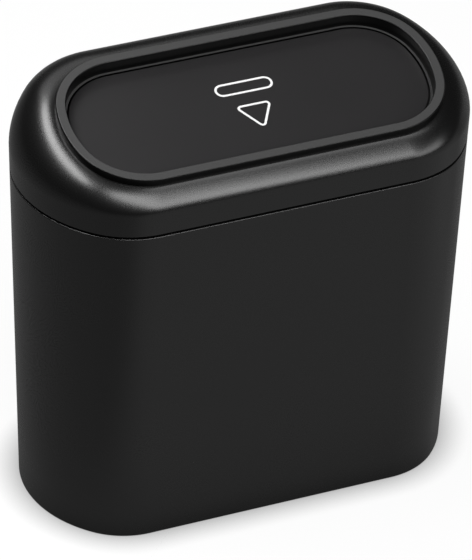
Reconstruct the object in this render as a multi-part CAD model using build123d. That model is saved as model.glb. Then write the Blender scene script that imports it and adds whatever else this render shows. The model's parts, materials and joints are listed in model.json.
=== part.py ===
from build123d import *
from math import cos, hypot, pi, radians, sin
import os

# Car trash can: a tapered bin, a lift-off cover with a rounded shoulder, a raised rim frame
# that carries the push flap, and the flap's hinge rod and return springs.
# Millimetres. Z is up, X runs along the length, and the front faces -Y.
# The origin is the middle of the base, on the surface that the bin stands on.

# Bin, sized at the joint line where the cover meets it
bin_length = 200.0
bin_depth = 103.0
bin_height = 157.0
bin_corner = 37.5
bin_bow = 46.0  # degrees that an end's arc turns from its middle to a corner
bin_draft = 4.7
bin_wall = 2.0
bin_floor = 2.4
foot_width = 5.0
foot_height = 1.2
lip_round = 0.6
base_round = 0.5

# Cover
joint_gap = 0.4
cover_straight = 11.0
cover_wall = 2.0
cover_height = 33.0
cover_round = 0.4
shoulder_steps = 6

# Spigot of the cover, which drops inside the bin's mouth
spigot_depth = 9.0
spigot_wall = 1.6
spigot_root = 3.0
spigot_clearance = 0.35
spigot_lead = 0.6

# Rim frame, set into the cover on a plane that slopes down towards the front
lid_slope = 14.0
end_shoulder = 15.7
front_shoulder = 5.9
rear_shoulder = 26.5
rim_corner = 30.9
rim_bow = 15.0
rim_width = 4.4
rim_height = 3.6
rim_round = 0.7
deck_width = 0.4
seat_gap = 0.05
seat_clearance = 0.15
skirt_wall = 1.8
skirt_depth = 15.2
recess_depth = 6.2
ledge_width = 1.0
ledge_thickness = 1.2

# Snap hooks that hold the frame down in the cover
hook_width = 8.0
hook_reach = 1.3
hook_height = 2.2
hook_gap = 0.1
hook_spread = 60.0

# Push flap
flap_gap = 0.6
flap_thickness = 2.5
flap_round = 0.5
flange_clearance = 0.42
stop_clearance = 0.3
rib_thickness = 1.6
rib_height = 4.0
rib_inset = 7.0
cross_ribs = 3

# Hinge: one rod through the frame's arms and the flap's knuckles
hinge_setback = 3.2
hinge_drop = 5.2
swing_gap = 0.3
rod_diameter = 2.2
rod_clearance = 0.05
rod_chamfer = 0.2
rod_length = 92.0
outer_arm_width = 5.0
inner_arm_width = 4.0
inner_arm_place = 12.0
knuckle_width = 6.0
spring_room = 14.0

# Torsion springs, one each side of the middle
wire_diameter = 0.6
spring_play = 0.25
spring_end_gap = 1.8
spring_turns = 8
spring_leg = 9.0
spring_lift = 3.0
leg_room = 0.6
anchor_play = 0.15
anchor_bite = 1.2

# Sizes worked out from the ones above
rim_length = bin_length - 2 * end_shoulder
rim_depth = (bin_depth - front_shoulder - rear_shoulder) / cos(radians(lid_slope))
rim_place = (front_shoulder - rear_shoulder) / 2
rim_top = bin_height + cover_height
mouth_length = rim_length - 2 * rim_width
mouth_depth = rim_depth - 2 * rim_width
mouth_corner = rim_corner - rim_width

flap_inset = ledge_width + flap_gap
flap_length = mouth_length - 2 * flap_inset
flap_depth = mouth_depth - 2 * flap_inset
flap_top = -recess_depth
flap_under = flap_top - flap_thickness
flange_top = flap_top - ledge_thickness - stop_clearance

hinge_y = flap_depth / 2 - hinge_setback
hinge_z = flap_top - hinge_drop
eye_radius = hinge_drop - flap_thickness - swing_gap
bore_radius = rod_diameter / 2 + rod_clearance
rib_back = hinge_y - spring_leg - leg_room
outer_arm_place = (rod_length - outer_arm_width) / 2
spring_start = inner_arm_place + inner_arm_width / 2
knuckle_place = spring_start + spring_room + knuckle_width / 2

coil_radius = rod_diameter / 2 + spring_play + wire_diameter / 2
coil_start = spring_start + spring_end_gap + wire_diameter / 2
coil_length = spring_room - 2 * spring_end_gap - wire_diameter
coil_turns = spring_turns - spring_lift / 360
coil_pitch = coil_length / coil_turns
leg_drift = coil_pitch / (2 * pi * coil_radius)

# The rim's plane: its X is the bin's own, and its normal leans towards the front
rim_normal = Vector(0, -sin(radians(lid_slope)), cos(radians(lid_slope)))
rim_middle = Vector(0, rim_place, rim_top)
lid_plane = Plane(origin=rim_middle, x_dir=(1, 0, 0), z_dir=rim_normal)


def on_lid(shape):
    """Carry a shape from the rim's own frame to the bin's."""
    return lid_plane.location * shape


def bowed_outline(length, depth, corner, bow):
    """Face with straight sides and bowed ends, whose corner arcs run on smoothly into both."""
    corner_y = depth / 2 - corner
    reach = corner_y / sin(radians(bow))
    end = corner + reach
    end_x = length / 2 - end
    corner_x = end_x + reach * cos(radians(bow))
    half = [
        CenterArc((end_x, 0), end, -bow, 2 * bow),
        CenterArc((corner_x, corner_y), corner, bow, 90 - bow),
        Line((corner_x, depth / 2), (-corner_x, depth / 2)),
        CenterArc((-corner_x, corner_y), corner, 90, 90 - bow),
    ]
    return make_face(half + [Rot(0, 0, 180) * edge for edge in half])


def slab(length, depth, corner, low, high):
    """Solid slab with the rim's bowed ends, between two heights."""
    outline = bowed_outline(length, depth, corner, rim_bow)
    return Pos(0, 0, low) * extrude(outline, amount=high - low)


def mouth_slab(inset, low, high):
    """Slab with the outline of the mouth drawn in by inset, or let out where it is negative."""
    return slab(
        mouth_length - 2 * inset, mouth_depth - 2 * inset, mouth_corner - inset, low, high
    )


def block(x_middle, x_size, y_low, y_high, z_low, z_high):
    """Box given by its place and width along X and its limits along Y and Z."""
    middle = Pos(x_middle, (y_low + y_high) / 2, (z_low + z_high) / 2)
    return middle * Box(x_size, y_high - y_low, z_high - z_low)


def hinge_bar(x_middle, radius, length):
    """Cylinder along the hinge axis, in the rim's own frame."""
    return Pos(x_middle, hinge_y, hinge_z) * Cylinder(radius, length, rotation=(0, 90, 0))


def bin_section(height, inset=0.0):
    """Outline of the tapered wall at a height, drawn in by inset."""
    narrowing = inset + bin_draft * (1 - height / bin_height)
    outline = bowed_outline(
        bin_length - 2 * narrowing, bin_depth - 2 * narrowing, bin_corner - narrowing, bin_bow
    )
    return Plane.XY.offset(height) * outline


def tapered(low, high, inset=0.0):
    """Solid between two heights that follows the bin's taper."""
    return loft([bin_section(low, inset), bin_section(high, inset)], ruled=True)


# Bin


def make_bin_body():
    shell = tapered(0, bin_height) - tapered(foot_height + bin_floor, bin_height, bin_wall)
    shell -= tapered(0, foot_height, foot_width)
    top = shell.faces().sort_by(Axis.Z)[-1]
    shell = fillet(top.outer_wire().edges(), lip_round)
    base = shell.faces().sort_by(Axis.Z)[0]
    return fillet(base.outer_wire().edges(), base_round)


# Cover


def shoulder_section(angle, wall):
    """Outline of the shoulder: upright at 0 degrees, and in the rim's plane at 90."""
    across = cos(radians(angle))
    up = sin(radians(angle))
    low_inset = wall - bin_draft * cover_straight / bin_height
    low_middle = Vector(0, 0, bin_height + cover_straight)
    top_middle = rim_middle - rim_normal * (rim_height + wall)
    slope = radians(lid_slope * up)

    def between(low_size, top_size):
        return top_size + (low_size - top_size) * across

    outline = bowed_outline(
        between(bin_length - 2 * low_inset, rim_length + 2 * deck_width),
        between(bin_depth - 2 * low_inset, rim_depth + 2 * deck_width),
        between(bin_corner - low_inset, rim_corner + deck_width),
        between(bin_bow, rim_bow),
    )
    middle = Vector(
        0,
        between(low_middle.Y, top_middle.Y),
        low_middle.Z + (top_middle.Z - low_middle.Z) * up,
    )
    plane = Plane(origin=middle, x_dir=(1, 0, 0), z_dir=(0, -sin(slope), cos(slope)))
    return plane * outline


def shoulder(wall):
    """Rounded shoulder, lofted from the upright wall to the deck under the rim."""
    return loft([shoulder_section(90 * n / shoulder_steps, wall) for n in range(shoulder_steps + 1)])


def make_spigot():
    low = bin_height - spigot_depth
    seat = bin_height + joint_gap
    high = seat + spigot_root
    outer = bin_wall + spigot_clearance
    tube = tapered(low, high, outer)
    tip = tube.faces().sort_by(Axis.Z)[0]
    tube = chamfer(tip.outer_wire().edges(), spigot_lead)
    tube += tapered(seat, high, cover_wall / 2)
    return tube - tapered(low, high, outer + spigot_wall)


def make_top_cover():
    low = bin_height + joint_gap
    high = bin_height + cover_straight
    shell = tapered(low, high) + shoulder(0)
    foot = shell.faces().sort_by(Axis.Z)[0]
    shell = fillet(foot.outer_wire().edges(), cover_round)
    shell -= tapered(low, high, cover_wall) + shoulder(cover_wall)
    opening = mouth_slab(-skirt_wall - seat_clearance, -skirt_depth, 0)
    return shell + make_spigot() - on_lid(opening)


# Rim frame


def frame_arm(x_middle, width):
    """Arm from the skirt's rear wall to an eye round the hinge rod."""
    reach = mouth_depth / 2 + skirt_wall / 2
    arm = block(x_middle, width, hinge_y, reach, hinge_z - eye_radius, hinge_z + eye_radius)
    return arm + hinge_bar(x_middle, eye_radius, width)


def anchor_slot(sign):
    """Slot through the skirt's rear wall for the end of a spring's leg."""
    wall = mouth_depth / 2
    middle = coil_start - leg_drift * (wall + skirt_wall / 2 - hinge_y)
    width = wire_diameter + 2 * anchor_play + leg_drift * skirt_wall
    height = wire_diameter / 2 + anchor_play
    level = hinge_z + coil_radius
    return block(sign * middle, width, wall, wall + skirt_wall, level - height, level + height)


def snap_hooks():
    """Hooks under the cover's deck: two in front, two behind and one at each end."""
    high = -rim_height - seat_gap - cover_wall - hook_gap
    low = high - hook_height
    side = mouth_depth / 2 + skirt_wall
    end = mouth_length / 2 + skirt_wall
    lap = skirt_wall / 2
    hooks = []
    for sign in (-1, 1):
        place = sign * hook_spread / 2
        hooks.append(block(place, hook_width, side - lap, side + hook_reach, low, high))
        hooks.append(block(place, hook_width, -side - hook_reach, lap - side, low, high))
        end_middle = sign * (end + (hook_reach - lap) / 2)
        hooks.append(block(end_middle, hook_reach + lap, -hook_width / 2, hook_width / 2, low, high))
    return hooks


def make_rim_frame():
    under_band = -rim_height + seat_gap
    band = slab(rim_length, rim_depth, rim_corner, under_band, 0)
    band -= mouth_slab(0, under_band, 0)
    band = fillet(band.faces().sort_by(Axis.Z)[-1].edges(), rim_round)
    skirt = mouth_slab(-skirt_wall, -skirt_depth, under_band)
    skirt -= mouth_slab(0, -skirt_depth, under_band)
    ledge = mouth_slab(-skirt_wall / 2, flap_top - ledge_thickness, flap_top)
    ledge -= mouth_slab(ledge_width, flap_top - ledge_thickness, flap_top)
    frame = band + skirt + ledge
    for hook in snap_hooks():
        frame += hook
    for sign in (-1, 1):
        frame += frame_arm(sign * inner_arm_place, inner_arm_width)
        frame += frame_arm(sign * outer_arm_place, outer_arm_width)
        frame -= anchor_slot(sign)
    return on_lid(frame - hinge_bar(0, bore_radius, rod_length + outer_arm_width))


# Push flap


def flap_ribs():
    """Ribs under the flap: one round the edge, closed at the back, and cross ribs inside it."""
    low = flap_under - rib_height
    inset = flap_inset + rib_inset
    outside = mouth_slab(inset, low, flap_under)
    inside = mouth_slab(inset + rib_thickness, low, flap_under)
    front = -flap_depth / 2
    ribs = (outside - inside) & block(0, flap_length, front, rib_back, low, flap_under)
    ribs += outside & block(0, flap_length, rib_back - rib_thickness, rib_back, low, flap_under)
    spacing = (flap_length - 2 * rib_inset) / (cross_ribs + 1)
    for number in range(cross_ribs):
        place = spacing * (number - (cross_ribs - 1) / 2)
        ribs += outside & block(place, rib_thickness, front, rib_back, low, flap_under)
    return ribs


def make_push_flap():
    """Flap whose flange stops it under the ledge, and ends at the mouth's middle to swing free."""
    plate = mouth_slab(flap_inset, flap_under, flap_top)
    plate = fillet(plate.faces().sort_by(Axis.Z)[-1].edges(), flap_round)
    flange = mouth_slab(flange_clearance, flap_under, flange_top)
    flange &= block(0, mouth_length, -mouth_depth / 2, 0, flap_under, flange_top)
    flap = plate + flange + flap_ribs()
    for sign in (-1, 1):
        place = sign * knuckle_place
        flap += hinge_bar(place, eye_radius, knuckle_width)
        flap += block(
            place, knuckle_width, hinge_y - eye_radius, hinge_y + eye_radius, hinge_z, flap_under
        )
    return on_lid(flap - hinge_bar(0, bore_radius, rod_length))


# Hinge rod and springs


def make_hinge_rod():
    rod = hinge_bar(0, rod_diameter / 2, rod_length)
    return on_lid(chamfer(rod.edges(), rod_chamfer))


def spring_right():
    """Torsion spring: a leg held in the skirt's slot, the coil, and a leg under the flap."""
    coil = Edge.make_helix(coil_pitch, coil_length, coil_radius)
    anchor_leg = (mouth_depth / 2 + anchor_bite - hinge_y) * hypot(1, leg_drift)
    path = Wire([
        Edge.make_line(coil @ 0 - (coil % 0) * anchor_leg, coil @ 0),
        coil,
        Edge.make_line(coil @ 1, coil @ 1 + (coil % 1) * spring_leg),
    ])
    section = Plane(origin=path @ 0, z_dir=path % 0) * Circle(wire_diameter / 2)
    tube = sweep(section, path=path, is_frenet=True)
    along_rod = Plane(origin=(coil_start, hinge_y, hinge_z), x_dir=(0, 0, 1), z_dir=(1, 0, 0))
    return along_rod.location * tube


def make_springs():
    right = spring_right()
    return {"spring_right": on_lid(right), "spring_left": on_lid(mirror(right, Plane.YZ))}


def make_parts():
    parts = {
        "bin_body": make_bin_body(),
        "top_cover": make_top_cover(),
        "rim_frame": make_rim_frame(),
        "push_flap": make_push_flap(),
        "hinge_rod": make_hinge_rod(),
    }
    parts.update(make_springs())
    return parts


os.makedirs("parts", exist_ok=True)
for name, shape in make_parts().items():
    export_step(shape, f"parts/{name}.step")
    box = shape.bounding_box()
    print(name, len(shape.solids()), round(shape.volume, 1), box.min, box.max)
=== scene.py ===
import json
from math import cos, pi, radians, sin

import bpy
from mathutils import Matrix, Quaternion, Vector

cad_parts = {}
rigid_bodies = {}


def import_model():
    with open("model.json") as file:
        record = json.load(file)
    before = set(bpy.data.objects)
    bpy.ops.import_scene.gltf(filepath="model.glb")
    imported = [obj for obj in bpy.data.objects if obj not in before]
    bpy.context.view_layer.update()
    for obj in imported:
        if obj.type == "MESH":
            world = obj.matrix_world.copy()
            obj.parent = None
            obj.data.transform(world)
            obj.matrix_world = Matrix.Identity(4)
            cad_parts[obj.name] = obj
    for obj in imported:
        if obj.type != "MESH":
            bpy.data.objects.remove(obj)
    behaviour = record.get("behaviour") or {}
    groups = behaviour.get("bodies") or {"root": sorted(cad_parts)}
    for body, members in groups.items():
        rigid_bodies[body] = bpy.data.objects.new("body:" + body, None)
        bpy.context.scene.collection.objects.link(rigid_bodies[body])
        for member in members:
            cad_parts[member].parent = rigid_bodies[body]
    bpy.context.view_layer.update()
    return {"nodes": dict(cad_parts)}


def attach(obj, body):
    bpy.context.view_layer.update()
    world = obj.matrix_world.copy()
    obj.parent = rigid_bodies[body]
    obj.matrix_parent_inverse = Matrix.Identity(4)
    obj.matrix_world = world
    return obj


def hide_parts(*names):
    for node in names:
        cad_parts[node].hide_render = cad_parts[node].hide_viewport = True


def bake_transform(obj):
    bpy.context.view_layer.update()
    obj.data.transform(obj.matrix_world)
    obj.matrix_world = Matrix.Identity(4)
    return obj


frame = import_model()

# Car trash can: a tapered bin, a cover with a rounded shoulder, and a push flap in a raised rim.
# Metres, Z up, X along the length, the front towards -Y. The camera stands at the front left.

mm = 0.001

# Values that the bin and the cover share, at the joint line between them
joint = {
    "length": 200 * mm,
    "depth": 103 * mm,
    "height": 157 * mm,
    "corner": 37.5 * mm,
    "bow": radians(46),   # turn of an end's arc from its middle to a corner
    "draft": 4.7 * mm,   # how far each side draws in on the way down to the floor
    "wall": 2 * mm,
}

# The plane that the rim and the flap lie in, which leans towards the front
lid = {
    "slope": radians(14),
    "forward": 10.3 * mm,
    "top": 190 * mm,
    "rimLength": 168.6 * mm,
    "rimDepth": 70.6 * mm / cos(radians(14)),
    "rimCorner": 30.9 * mm,
    "rimBow": radians(15),
    "rimWidth": 4.4 * mm,
    "rimHeight": 3.6 * mm,
    "recess": 6.2 * mm,   # from the top of the rim down to the flap
}

cornerSteps = 18   # faces round each corner arc of a ring
endSteps = 26   # faces round each bowed end
samePoint = 0.001 * mm   # points nearer than this are one point
sameRing = 0.01 * mm   # the same where two bands of a piece meet


# Shared modelling steps

def startPiece(name):
    bpy.ops.object.select_all(action="DESELECT")
    bpy.ops.mesh.primitive_plane_add(size=1, location=(0, 0, 0))
    piece = bpy.context.object
    piece.name = name
    piece.data.name = name
    bpy.ops.object.mode_set(mode="EDIT")
    bpy.ops.mesh.delete(type="VERT")   # the piece starts as an empty mesh
    return piece


def ring(length, depth, corner, bow, middle, slope=0.0):
    return {
        "draw": drawBowed, "length": length, "depth": depth, "corner": corner, "bow": bow,
        "middle": middle, "slope": slope,
    }


def sweepArc(x, y, turn, steps):
    # Carries the selected point clockwise round (x, y), and leaves the arc behind it
    bpy.ops.mesh.spin(steps=steps, angle=turn, center=(x, y, 0), axis=(0, 0, 1))


def sweepLine(x, y):
    bpy.ops.mesh.extrude_region_move(TRANSFORM_OT_translate={"value": (x, y, 0)})


def drawBowed(shape):
    # Four corners and two bowed ends
    cornerY = shape["depth"] / 2 - shape["corner"]
    reach = cornerY / sin(shape["bow"])
    endX = shape["length"] / 2 - shape["corner"] - reach
    cornerX = endX + reach * cos(shape["bow"])
    cornerTurn = pi / 2 - shape["bow"]
    bpy.ops.transform.translate(value=(cornerX, shape["depth"] / 2, 0))
    for side in (1, -1):
        sweepArc(side * cornerX, side * cornerY, cornerTurn, cornerSteps)
        sweepArc(side * endX, 0, 2 * shape["bow"], endSteps)
        sweepArc(side * cornerX, -side * cornerY, cornerTurn, cornerSteps)
        sweepLine(-2 * side * cornerX, 0)


def drawTriangle(shape):
    # Three rounded corners, the third one pointing to the front
    half, high = shape["side"] / 2, shape["side"] / 12 ** 0.5   # high: from its middle to a side
    x, y = -half, high
    bpy.ops.transform.translate(value=(x, y + shape["corner"], 0))
    for nextX, nextY in ((half, high), (0, -2 * high), (-half, high)):
        sweepLine(nextX - x, nextY - y)
        sweepArc(nextX, nextY, 2 * pi / 3, cornerSteps)
        x, y = nextX, nextY


def addRing(shape):
    # One point swept round the outline, closed to a ring, and then laid in its place
    bpy.ops.mesh.primitive_plane_add(size=mm, location=(0, 0, 0))
    bpy.ops.mesh.merge(type="CENTER")
    shape["draw"](shape)
    bpy.ops.mesh.select_linked()
    bpy.ops.mesh.remove_doubles(threshold=samePoint)
    bpy.ops.transform.rotate(value=-shape["slope"], orient_axis="X", center_override=(0, 0, 0))
    bpy.ops.transform.translate(value=shape["middle"])


def loftRings(name, rings, closed):
    # Each pair of rings is bridged in a piece of its own, and the bands are then joined
    bands = []
    for lower, upper in zip(rings, rings[1:] + rings[:1] if closed else rings[1:]):
        bands.append(startPiece(name))
        addRing(lower)
        addRing(upper)
        bpy.ops.mesh.select_all(action="SELECT")
        bpy.ops.mesh.bridge_edge_loops()
        bpy.ops.object.mode_set(mode="OBJECT")
    for band in bands:
        band.select_set(True)
    bpy.context.view_layer.objects.active = bands[0]
    bpy.ops.object.join()
    bpy.ops.object.mode_set(mode="EDIT")
    bpy.ops.mesh.select_all(action="SELECT")
    bpy.ops.mesh.remove_doubles(threshold=sameRing)
    if not closed:
        bpy.ops.mesh.fill_holes(sides=0)
    return bands[0]


def finishPiece(piece, smoothAngle=35):
    bpy.ops.mesh.select_all(action="SELECT")
    bpy.ops.mesh.normals_make_consistent(inside=False)
    bpy.ops.object.mode_set(mode="OBJECT")
    bpy.ops.object.shade_smooth_by_angle(angle=radians(smoothAngle))
    weights = piece.modifiers.new("evenShading", "WEIGHTED_NORMAL")   # keeps the flat faces flat
    weights.keep_sharp = True
    bpy.ops.object.modifier_apply(modifier=weights.name)
    return piece


def wallRing(height, inset=0.0):
    # The outline of the tapered wall at a height, drawn in by inset
    narrowing = inset + joint["draft"] * (1 - height / joint["height"])
    return ring(
        joint["length"] - 2 * narrowing,
        joint["depth"] - 2 * narrowing,
        joint["corner"] - narrowing,
        joint["bow"],
        (0, 0, height),
    )


def lidPlace(x, y, level):
    # A point on the lid, x and y from its middle and level from the top of the rim
    slope = lid["slope"]
    return (
        x,
        -lid["forward"] + y * cos(slope) - level * sin(slope),
        lid["top"] + y * sin(slope) + level * cos(slope),
    )


def lidRing(inset, level):
    # The rim's outline drawn in by inset, at a level above the rim's top or below it
    return ring(
        lid["rimLength"] - 2 * inset,
        lid["rimDepth"] - 2 * inset,
        lid["rimCorner"] - inset,
        lid["rimBow"],
        lidPlace(0, 0, level),
        lid["slope"],
    )


def roundSteps(steps):
    # Pairs of sine and cosine for a quarter round
    return [(sin(pi / 2 * n / steps), cos(pi / 2 * n / steps)) for n in range(steps + 1)]


# Materials

noiseLow, noiseHigh = 0.3, 0.7   # nearly all of a noise texture's values lie between these


def linear(hexColour):
    # sRGB hex to the linear values that the shaders work in
    channels = [int(hexColour[n:n + 2], 16) / 255 for n in (1, 3, 5)]
    return [c / 12.92 if c <= 0.04045 else ((c + 0.055) / 1.055) ** 2.4 for c in channels] + [1]


def addNode(tree, kind, settings={}, inputs={}):
    node = tree.nodes.new(kind)
    for name, value in settings.items():
        setattr(node, name, value)
    for socket, value in inputs.items():
        if isinstance(value, bpy.types.NodeSocket):
            tree.links.new(value, node.inputs[socket])
        else:
            node.inputs[socket].default_value = value
    return node


def newMaterial(name):
    material = bpy.data.materials.new(name)
    material.use_nodes = True
    material.node_tree.nodes.clear()
    return material, material.node_tree


def mouldedAbs(name, look):
    # Injection-moulded ABS: the mould's etched grain scatters the light, so black reads as satin
    material, tree = newMaterial(name)
    place = addNode(tree, "ShaderNodeTexCoord").outputs["Object"]
    grain = addNode(tree, "ShaderNodeTexNoise", inputs={
        "Vector": place, "Scale": 1 / look["grainSize"], "Detail": 3, "Roughness": 0.6,
    })
    flow = addNode(tree, "ShaderNodeTexNoise", inputs={   # slow change of sheen where the melt ran
        "Vector": place, "Scale": 1 / look["flowSize"], "Detail": 2, "Roughness": 0.5,
    })
    colour = addNode(tree, "ShaderNodeMix", {"data_type": "RGBA"}, {
        "Factor": flow.outputs["Fac"], "A": linear(look["colour"]), "B": linear(look["colourPale"]),
    })
    sheen = addNode(tree, "ShaderNodeMath", {"operation": "ADD"}, {
        0: grain.outputs["Fac"], 1: flow.outputs["Fac"],
    })
    roughness = addNode(tree, "ShaderNodeMapRange", inputs={
        "Value": sheen.outputs[0], "From Min": 2 * noiseLow, "From Max": 2 * noiseHigh,
        "To Min": look["roughness"] - look["roughnessSpread"],
        "To Max": look["roughness"] + look["roughnessSpread"],
    })
    bump = addNode(tree, "ShaderNodeBump", inputs={
        "Height": grain.outputs["Fac"], "Strength": look["bump"], "Distance": look["grainDepth"],
    })
    surface = addNode(tree, "ShaderNodeBsdfPrincipled", inputs={
        "Base Color": colour.outputs["Result"],
        "Roughness": roughness.outputs["Result"],
        "IOR": look["ior"],
        "Specular IOR Level": look["specular"],
        "Normal": bump.outputs["Normal"],
    })
    addNode(tree, "ShaderNodeOutputMaterial", inputs={"Surface": surface.outputs["BSDF"]})
    return material


def levelFaces(tree, start, end):
    # 0 on walls and 1 on faces in the plane of the lid, from the mesh's own normals: start and
    # end are the cosines of a face's lean from that plane
    normal = addNode(tree, "ShaderNodeTexCoord").outputs["Normal"]
    facing = addNode(tree, "ShaderNodeVectorMath", {"operation": "DOT_PRODUCT"}, {
        0: normal, 1: (0, -sin(lid["slope"]), cos(lid["slope"])),
    })
    return addNode(tree, "ShaderNodeMapRange", inputs={
        "Value": facing.outputs["Value"], "From Min": start, "From Max": end,
    }).outputs["Result"]


def etchedFrameWithPaintedShade(name, look):
    # The rim's moulding: its level faces are etched, so they read matt, and its walls are smooth.
    # Painted light and shade: the level faces are coloured pale as if lit, the walls near black as
    # if in shade
    material, tree = newMaterial(name)
    place = addNode(tree, "ShaderNodeTexCoord").outputs["Object"]
    level = levelFaces(tree, look["wallBelow"], look["levelAbove"])
    grain = addNode(tree, "ShaderNodeTexNoise", inputs={
        "Vector": place, "Scale": 1 / look["grainSize"], "Detail": 3, "Roughness": 0.6,
    })
    # painted light and shade: pale colour on the level faces, near-black colour on the walls
    colour = addNode(tree, "ShaderNodeMix", {"data_type": "RGBA"}, {
        "Factor": level, "A": linear(look["paintedShadeWallColour"]), "B": linear(look["paintedLitFaceColour"]),
    })
    sheen = addNode(tree, "ShaderNodeMapRange", inputs={
        "Value": level, "To Min": look["wallRoughness"], "To Max": look["faceRoughness"],
    })
    uneven = addNode(tree, "ShaderNodeMapRange", inputs={   # the etch is a little uneven
        "Value": grain.outputs["Fac"], "From Min": noiseLow, "From Max": noiseHigh,
        "To Min": 1 - look["unevenness"], "To Max": 1 + look["unevenness"],
    })
    roughness = addNode(tree, "ShaderNodeMath", {"operation": "MULTIPLY"}, {
        0: sheen.outputs["Result"], 1: uneven.outputs["Result"],
    })
    bump = addNode(tree, "ShaderNodeBump", inputs={
        "Height": grain.outputs["Fac"], "Strength": look["bump"], "Distance": look["grainDepth"],
    })
    surface = addNode(tree, "ShaderNodeBsdfPrincipled", inputs={
        "Base Color": colour.outputs["Result"],
        "Roughness": roughness.outputs[0],
        "IOR": look["ior"],
        "Specular IOR Level": look["specular"],
        "Normal": bump.outputs["Normal"],
    })
    addNode(tree, "ShaderNodeOutputMaterial", inputs={"Surface": surface.outputs["BSDF"]})
    return material


def drawnSteel(name, look):
    # Drawn steel: fine lines along the wire, pulled by the die, that stretch the highlight
    material, tree = newMaterial(name)
    place = addNode(tree, "ShaderNodeTexCoord").outputs["Object"]
    along = addNode(tree, "ShaderNodeMapping", inputs={
        "Vector": place, "Scale": (look["stretch"], 1, 1),
    })
    lines = addNode(tree, "ShaderNodeTexNoise", inputs={
        "Vector": along.outputs["Vector"], "Scale": 1 / look["lineWidth"], "Detail": 2,
    })
    roughness = addNode(tree, "ShaderNodeMapRange", inputs={
        "Value": lines.outputs["Fac"], "To Min": look["roughness"] - look["roughnessSpread"],
        "To Max": look["roughness"] + look["roughnessSpread"],
    })
    bump = addNode(tree, "ShaderNodeBump", inputs={
        "Height": lines.outputs["Fac"], "Strength": look["bump"], "Distance": look["lineDepth"],
    })
    surface = addNode(tree, "ShaderNodeBsdfPrincipled", inputs={
        "Base Color": linear(look["colour"]),
        "Metallic": 1.0,
        "Roughness": roughness.outputs["Result"],
        "Normal": bump.outputs["Normal"],
    })
    addNode(tree, "ShaderNodeOutputMaterial", inputs={"Surface": surface.outputs["BSDF"]})
    return material


def padPrint(name, look):
    # Pad-printed ink: a thin matt white film, slightly uneven where the pad lifted off
    material, tree = newMaterial(name)
    place = addNode(tree, "ShaderNodeTexCoord").outputs["Object"]
    film = addNode(tree, "ShaderNodeTexNoise", inputs={
        "Vector": place, "Scale": 1 / look["patchSize"], "Detail": 3,
    })
    colour = addNode(tree, "ShaderNodeMix", {"data_type": "RGBA"}, {
        "Factor": film.outputs["Fac"], "A": linear(look["colourThin"]), "B": linear(look["colour"]),
    })
    bump = addNode(tree, "ShaderNodeBump", inputs={
        "Height": film.outputs["Fac"], "Strength": look["bump"], "Distance": look["filmDepth"],
    })
    surface = addNode(tree, "ShaderNodeBsdfPrincipled", inputs={
        "Base Color": colour.outputs["Result"],
        "Roughness": look["roughness"],
        "Normal": bump.outputs["Normal"],
    })
    addNode(tree, "ShaderNodeOutputMaterial", inputs={"Surface": surface.outputs["BSDF"]})
    return material


def dress(piece, material):
    piece.data.materials.clear()
    piece.data.materials.append(material)


satinShell = mouldedAbs("satinBlackAbs", {
    "colour": "#0a0a0a", "colourPale": "#0d0d0d",
    "roughness": 0.27, "roughnessSpread": 0.02,
    "ior": 1.54, "specular": 0.65,   # ABS's own level is 0.5: matched to the highlights
    "grainSize": 0.45 * mm,   # the real etch is about 0.05 mm, too fine to show at this distance
    "grainDepth": 0.02 * mm, "bump": 0.35, "flowSize": 60 * mm,
})
etchedRimWithPaintedShade = etchedFrameWithPaintedShade("etchedBlackAbsPaintedShade", {
    # painted light and shade on one plastic: grey for the lit level faces, black for the shaded
    # walls
    "paintedShadeWallColour": "#030303", "paintedLitFaceColour": "#424242",
    "wallRoughness": 0.3, "faceRoughness": 0.5, "unevenness": 0.06,
    "wallBelow": 0.85, "levelAbove": 0.97,
    "ior": 1.54, "specular": 0.26,   # low, because the etch breaks up the mirror
    "grainSize": 0.45 * mm, "grainDepth": 0.02 * mm, "bump": 0.4,
})
mattFlap = mouldedAbs("mattCharcoalAbs", {   # rougher than the shell, so what it mirrors is soft
    "colour": "#201f20", "colourPale": "#222122",
    "roughness": 0.38, "roughnessSpread": 0.02, "ior": 1.54, "specular": 0.65,
    "grainSize": 0.5 * mm, "grainDepth": 0.01 * mm, "bump": 0.2, "flowSize": 45 * mm,
})
rodSteel = drawnSteel("brightDrawnSteel", {
    "colour": "#c4c4c6", "roughness": 0.28, "roughnessSpread": 0.08,
    "stretch": 0.05, "lineWidth": 0.15 * mm, "lineDepth": 0.01 * mm, "bump": 0.3,
})
wireSteel = drawnSteel("springSteelWire", {
    "colour": "#9d9da0", "roughness": 0.34, "roughnessSpread": 0.08,
    "stretch": 0.4, "lineWidth": 0.12 * mm, "lineDepth": 0.01 * mm, "bump": 0.3,
})
whiteInk = padPrint("whitePrintInk", {
    "colour": "#f4f4f4", "colourThin": "#e6e6e6", "roughness": 0.55,
    "patchSize": 1.2 * mm, "filmDepth": 0.01 * mm, "bump": 0.2,
})
print("materials ready")


# Bin

binShape = {
    "floor": 2.4 * mm, "footWidth": 5 * mm, "footHeight": 1.2 * mm,
    "lipRound": 0.4 * mm, "baseRound": 0.5 * mm, "roundSteps": 4,
}


def makeBin():
    lip, base, top = binShape["lipRound"], binShape["baseRound"], joint["height"]
    rings = [
        wallRing(binShape["footHeight"], binShape["footWidth"]),
        wallRing(0, binShape["footWidth"]),
    ]
    for rise, run in roundSteps(binShape["roundSteps"]):
        rings.append(wallRing(base * (1 - run), base * (1 - rise)))
    for rise, run in roundSteps(binShape["roundSteps"]):
        rings.append(wallRing(top - lip * (1 - rise), lip * (1 - run)))
    rings.append(wallRing(top, joint["wall"]))
    rings.append(wallRing(binShape["footHeight"] + binShape["floor"], joint["wall"]))
    return finishPiece(loftRings("binShell", rings, closed=False))


binShell = makeBin()
dress(binShell, satinShell)
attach(binShell, "bin")
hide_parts("bin_body")
print("bin made")


# Cover

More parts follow.
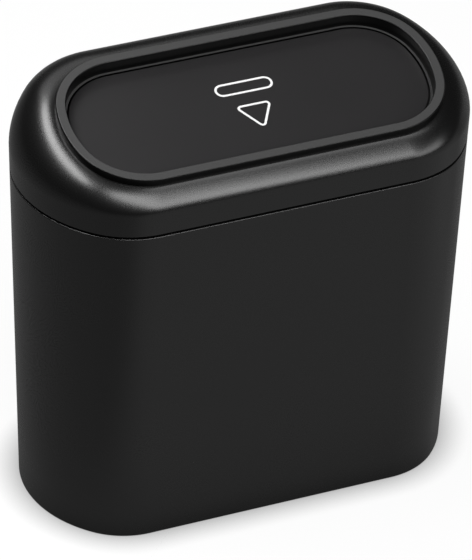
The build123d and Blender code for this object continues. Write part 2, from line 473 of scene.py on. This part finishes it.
coverShape = {
    "gap": 1.15 * mm,   # the dark joint line above the bin's lip
    "straight": 11 * mm, "deck": 0.4 * mm, "footRound": 0.3 * mm, "footSteps": 3,
    "shoulderSteps": 18, "innerSteps": 6, "openingMargin": 1.95 * mm,
    "spigotDepth": 9 * mm, "spigotWall": 1.6 * mm, "spigotRoot": 3 * mm,
    "spigotClearance": 0.35 * mm, "spigotLead": 0.6 * mm,
}


def shoulderRing(turn, wall):
    # Upright at turn 0, and in the rim's plane at a quarter turn
    across, up = cos(turn), sin(turn)
    low = wallRing(joint["height"] + coverShape["straight"], wall)
    high = lidRing(-coverShape["deck"], -lid["rimHeight"] - wall)

    def between(key):
        return high[key] + (low[key] - high[key]) * across

    y = high["middle"][1] * (1 - across)
    z = low["middle"][2] + (high["middle"][2] - low["middle"][2]) * up
    slope = lid["slope"] * up
    return ring(
        between("length"), between("depth"), between("corner"), between("bow"), (0, y, z), slope
    )


def makeCover():
    top, wall, steps = joint["height"], joint["wall"], coverShape["innerSteps"]
    foot, footRound = top + coverShape["gap"], coverShape["footRound"]
    spigotOut = wall + coverShape["spigotClearance"]
    spigotIn = spigotOut + coverShape["spigotWall"]
    spigotTip = top - coverShape["spigotDepth"]
    spigotRoot = foot + coverShape["spigotRoot"]
    opening = lid["rimWidth"] - coverShape["openingMargin"]
    rings = []
    for rise, run in roundSteps(coverShape["footSteps"]):
        rings.append(wallRing(foot + footRound * (1 - run), footRound * (1 - rise)))
    for n in range(coverShape["shoulderSteps"] + 1):
        rings.append(shoulderRing(pi / 2 * n / coverShape["shoulderSteps"], 0))
    rings.append(lidRing(opening, -lid["rimHeight"]))
    rings.append(lidRing(opening, -lid["rimHeight"] - wall))
    for n in range(steps + 1):
        rings.append(shoulderRing(pi / 2 * (1 - n / steps), wall))
    rings += [
        wallRing(spigotRoot, wall),
        wallRing(spigotRoot, spigotIn),
        wallRing(spigotTip, spigotIn),
        wallRing(spigotTip, spigotOut + coverShape["spigotLead"]),
        wallRing(spigotTip + coverShape["spigotLead"], spigotOut),
        wallRing(foot, spigotOut),
    ]
    return finishPiece(loftRings("coverShell", rings, closed=True))


coverShell = makeCover()
dress(coverShell, satinShell)
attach(coverShell, "cover")
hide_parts("top_cover")
print("cover made")


# Mark printed on the flap: a bar above a triangle that points to the front

mark = {
    "x": 0.8 * mm,
    "barY": 9.4 * mm, "barLength": 26 * mm, "barDepth": 7 * mm, "barBow": radians(45),
    "triangleY": -5.6 * mm, "triangleSide": 11 * mm, "triangleCorner": 1.8 * mm,
    "stroke": 1 * mm, "film": 0.05 * mm, "sunk": 0.02 * mm,   # the ink lies in the surface
}


def printStroke(name, outline):
    # A closed line of ink round an outline, as wide as the stroke
    low, high = -lid["recess"] - mark["sunk"], -lid["recess"] + mark["film"]
    stroke = mark["stroke"]
    return finishPiece(loftRings(name, [
        outline(0, low), outline(0, high), outline(stroke, high), outline(stroke, low),
    ], closed=True))


def barRing(inset, level):
    depth = mark["barDepth"] - 2 * inset
    return ring(
        mark["barLength"] - 2 * inset, depth, depth / 2, mark["barBow"],
        lidPlace(mark["x"], mark["barY"], level), lid["slope"],
    )


def triangleRing(inset, level):
    return {
        "draw": drawTriangle, "side": mark["triangleSide"],
        "corner": mark["triangleCorner"] - inset,
        "middle": lidPlace(mark["x"], mark["triangleY"], level), "slope": lid["slope"],
    }


for piece in (printStroke("markBar", barRing), printStroke("markTriangle", triangleRing)):
    dress(piece, whiteInk)
    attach(piece, "flap")
print("mark printed")


# Torsion springs, copied from the imported wire; in the real bin the front leg follows the flap
# while the coil twists

springCoil = {
    "start": 16.1 * mm, "end": 25.9 * mm,   # along the rod, from the middle of the lid
    "smoothAngle": 60,
}


def makeSpring(name, nodeName):
    node = frame["nodes"][nodeName]
    piece = bpy.data.objects.new(name, node.data.copy())
    bpy.context.scene.collection.objects.link(piece)
    bpy.ops.object.select_all(action="DESELECT")
    piece.select_set(True)
    bpy.context.view_layer.objects.active = piece
    bpy.ops.object.mode_set(mode="EDIT")
    bpy.ops.mesh.select_all(action="SELECT")
    bpy.ops.mesh.remove_doubles(threshold=samePoint)
    finishPiece(piece, springCoil["smoothAngle"])
    dress(piece, wireSteel)
    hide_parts(nodeName)
    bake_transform(piece)


makeSpring("springWireRight", "spring_right")
makeSpring("springWireLeft", "spring_left")
print("springs made")


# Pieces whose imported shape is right, which get their finish here

dress(frame["nodes"]["rim_frame"], etchedRimWithPaintedShade)
dress(frame["nodes"]["push_flap"], mattFlap)
dress(frame["nodes"]["hinge_rod"], rodSteel)
print("packed pieces dressed")


# Floor, lights and camera

def seenBy(tree, shares):
    # The largest share among the kinds of ray that look at a surface
    rays = addNode(tree, "ShaderNodeLightPath").outputs
    seen = None
    for kind, share in shares.items():
        part = addNode(tree, "ShaderNodeMath", {"operation": "MULTIPLY"}, {0: rays[kind], 1: share})
        if seen is None:
            seen = part.outputs[0]
        else:
            seen = addNode(tree, "ShaderNodeMath", {"operation": "MAXIMUM"}, {
                0: seen, 1: part.outputs[0],
            }).outputs[0]
    return seen


def paintedFloorReflection(tree, look):
    # Painted reflection: a glow on the floor that only reflections see, dark to the bin's left and
    # just behind its middle, pale ahead of it and far behind
    place = addNode(tree, "ShaderNodeTexCoord").outputs["Object"]
    sides = addNode(tree, "ShaderNodeSeparateXYZ", inputs={"Vector": place}).outputs

    def fade(side, dark, pale):
        return addNode(tree, "ShaderNodeMapRange", {"interpolation_type": "SMOOTHSTEP"}, {
            "Value": sides[side], "From Min": look[dark], "From Max": look[pale],
        }).outputs["Result"]

    along = addNode(tree, "ShaderNodeMath", {"operation": "MAXIMUM"}, {
        0: fade("Y", "darkRear", "paleFront"), 1: fade("Y", "darkRear", "paleBack"),
    })
    pale = addNode(tree, "ShaderNodeMath", {"operation": "MULTIPLY"}, {
        0: fade("X", "darkLeft", "paleRight"), 1: along.outputs[0],
    })
    return addNode(tree, "ShaderNodeMapRange", inputs={
        "Value": pale.outputs[0], "To Min": look["paintedReflectionDark"], "To Max": look["paintedReflectionPale"],
    }).outputs["Result"]


def makeFloor(look):
    # White paper: the eye sees it white, and the lamps still draw the bin's shadow on it; near the
    # foot its glow is darkened by a painted contact shadow
    bpy.ops.object.select_all(action="DESELECT")
    bpy.ops.mesh.primitive_plane_add(size=look["size"], location=(0, 0, 0))
    floor = bpy.context.object
    floor.name = "paperFloor"
    material, tree = newMaterial("whitePaper")
    # painted contact shadow: ambient occlusion darkens the floor's glow close to the bin
    clear = addNode(tree, "ShaderNodeAmbientOcclusion", inputs={"Distance": look["paintedContactShadowReach"]})
    # painted reflection: what the bin mirrors of the floor is painted darker to its left
    shares = {**look["glow"], "Is Glossy Ray": paintedFloorReflection(tree, look)}
    glow = addNode(tree, "ShaderNodeMath", {"operation": "MULTIPLY"}, {   # painted contact shadow: the glow fades out near the foot
        0: clear.outputs["AO"], 1: seenBy(tree, shares),
    })
    glowing = addNode(tree, "ShaderNodeEmission", inputs={"Strength": glow.outputs[0]})
    colour = addNode(tree, "ShaderNodeMix", {"data_type": "RGBA"}, {
        "Factor": seenBy(tree, look["whitened"]),
        "A": linear(look["colour"]), "B": linear("#ffffff"),
    })
    paper = addNode(tree, "ShaderNodeBsdfDiffuse", inputs={"Color": colour.outputs["Result"]})
    both = addNode(tree, "ShaderNodeAddShader", inputs={
        0: glowing.outputs[0], 1: paper.outputs[0],
    })
    addNode(tree, "ShaderNodeOutputMaterial", inputs={"Surface": both.outputs[0]})
    dress(floor, material)


def makeWorld(look):
    world = bpy.data.worlds.new("paleRoom")
    bpy.context.scene.world = world
    world.use_nodes = True
    tree = world.node_tree
    tree.nodes.clear()
    background = addNode(tree, "ShaderNodeBackground", inputs={
        "Color": linear("#ffffff"), "Strength": seenBy(tree, look),
    })
    addNode(tree, "ShaderNodeOutputWorld", inputs={"Surface": background.outputs[0]})


lampAim = Vector((0, 0, 120 * mm))   # just above the middle of the bin


def addSoftbox(name, look):
    # Placed by its bearing from the front (positive to the right) and its height angle
    bearing, height = radians(look["bearing"]), radians(look["height"])
    direction = Vector((
        sin(bearing) * cos(height), -cos(bearing) * cos(height), sin(height),
    ))
    bpy.ops.object.light_add(type="AREA", location=lampAim + direction * look["distance"])
    lamp = bpy.context.object
    lamp.name = name
    facing = direction.to_track_quat("Z", "Y") @ Quaternion((0, 0, 1), radians(look["turn"]))
    lamp.rotation_euler = facing.to_euler()
    lamp.data.shape = "RECTANGLE"
    lamp.data.size, lamp.data.size_y = look["width"], look["tall"]
    lamp.data.energy = look["power"]


def placeCamera(view):
    # The photograph's view: azimuth and elevation round the object, then the roll of the frame
    az, el, roll = radians(view["azimuth"]), radians(view["elevation"]), radians(view["roll"])
    back = Vector((sin(az) * cos(el), -cos(az) * cos(el), sin(el)))
    level = Vector((cos(az), sin(az), 0))
    right = level * cos(roll) + back.cross(level) * sin(roll)
    up = back.cross(right)
    aim = Vector(view["aim"])
    sideways, upward = view["offset"]
    bpy.ops.object.camera_add()
    camera = bpy.context.object
    camera.name = "photoCamera"
    place = aim - right * sideways - up * upward + back * view["distance"]
    camera.matrix_world = Matrix((
        (right.x, up.x, back.x, place.x),
        (right.y, up.y, back.y, place.y),
        (right.z, up.z, back.z, place.z),
        (0, 0, 0, 1),
    ))
    camera.data.sensor_width = view["sensor"]
    camera.data.lens = view["lens"]
    camera.data.clip_end = view["reach"]
    bpy.context.scene.camera = camera


makeFloor({
    "size": 40, "colour": "#5e5e5e", "paintedContactShadowReach": 14 * mm,
    "glow": {"Is Camera Ray": 0.87, "Is Transmission Ray": 0.87},
    # where the painted reflection of the floor is dark and where it is pale
    "darkLeft": -150 * mm, "paleRight": -40 * mm,
    "darkRear": 40 * mm, "paleFront": -110 * mm, "paleBack": 350 * mm,
    "paintedReflectionDark": 0.065, "paintedReflectionPale": 0.195,
    "whitened": {"Is Camera Ray": 0.05, "Is Transmission Ray": 0.05},
})
makeWorld({
    "Is Camera Ray": 1.0, "Is Transmission Ray": 1.0,
    "Is Glossy Ray": 0.035, "Is Diffuse Ray": 0.08,
})
addSoftbox("leftStrip", {
    "bearing": -115, "height": 58, "turn": 0, "distance": 0.6, "width": 0.56, "tall": 0.15,
    "power": 2.46,
})
addSoftbox("frontStrip", {
    "bearing": 0, "height": 46, "turn": -38, "distance": 1.6, "width": 1.65, "tall": 0.42,
    "power": 14.63,
})
addSoftbox("rightSoftbox", {
    "bearing": 48, "height": 62, "turn": 0, "distance": 1.6, "width": 0.8, "tall": 0.6,
    "power": 3.23,
})
addSoftbox("rearSoftbox", {
    "bearing": 178, "height": 42, "turn": 0, "distance": 1.6, "width": 1.1, "tall": 0.7,
    "power": 1.85,
})
addSoftbox("lowSoftbox", {
    "bearing": 42, "height": 20, "turn": 0, "distance": 1.4, "width": 0.9, "tall": 0.4,
    "power": 2.93,
})
placeCamera({
    "azimuth": -23.78, "elevation": 34.86, "roll": 1.96, "distance": 2263 * mm,
    "lens": 339.7, "sensor": 36, "reach": 50,   # millimetres of the camera, then metres
    "aim": (0, 0, 95.24 * mm), "offset": (0, 5.95 * mm),
})
bpy.context.scene.view_settings.view_transform = "Standard"
print("stage ready")
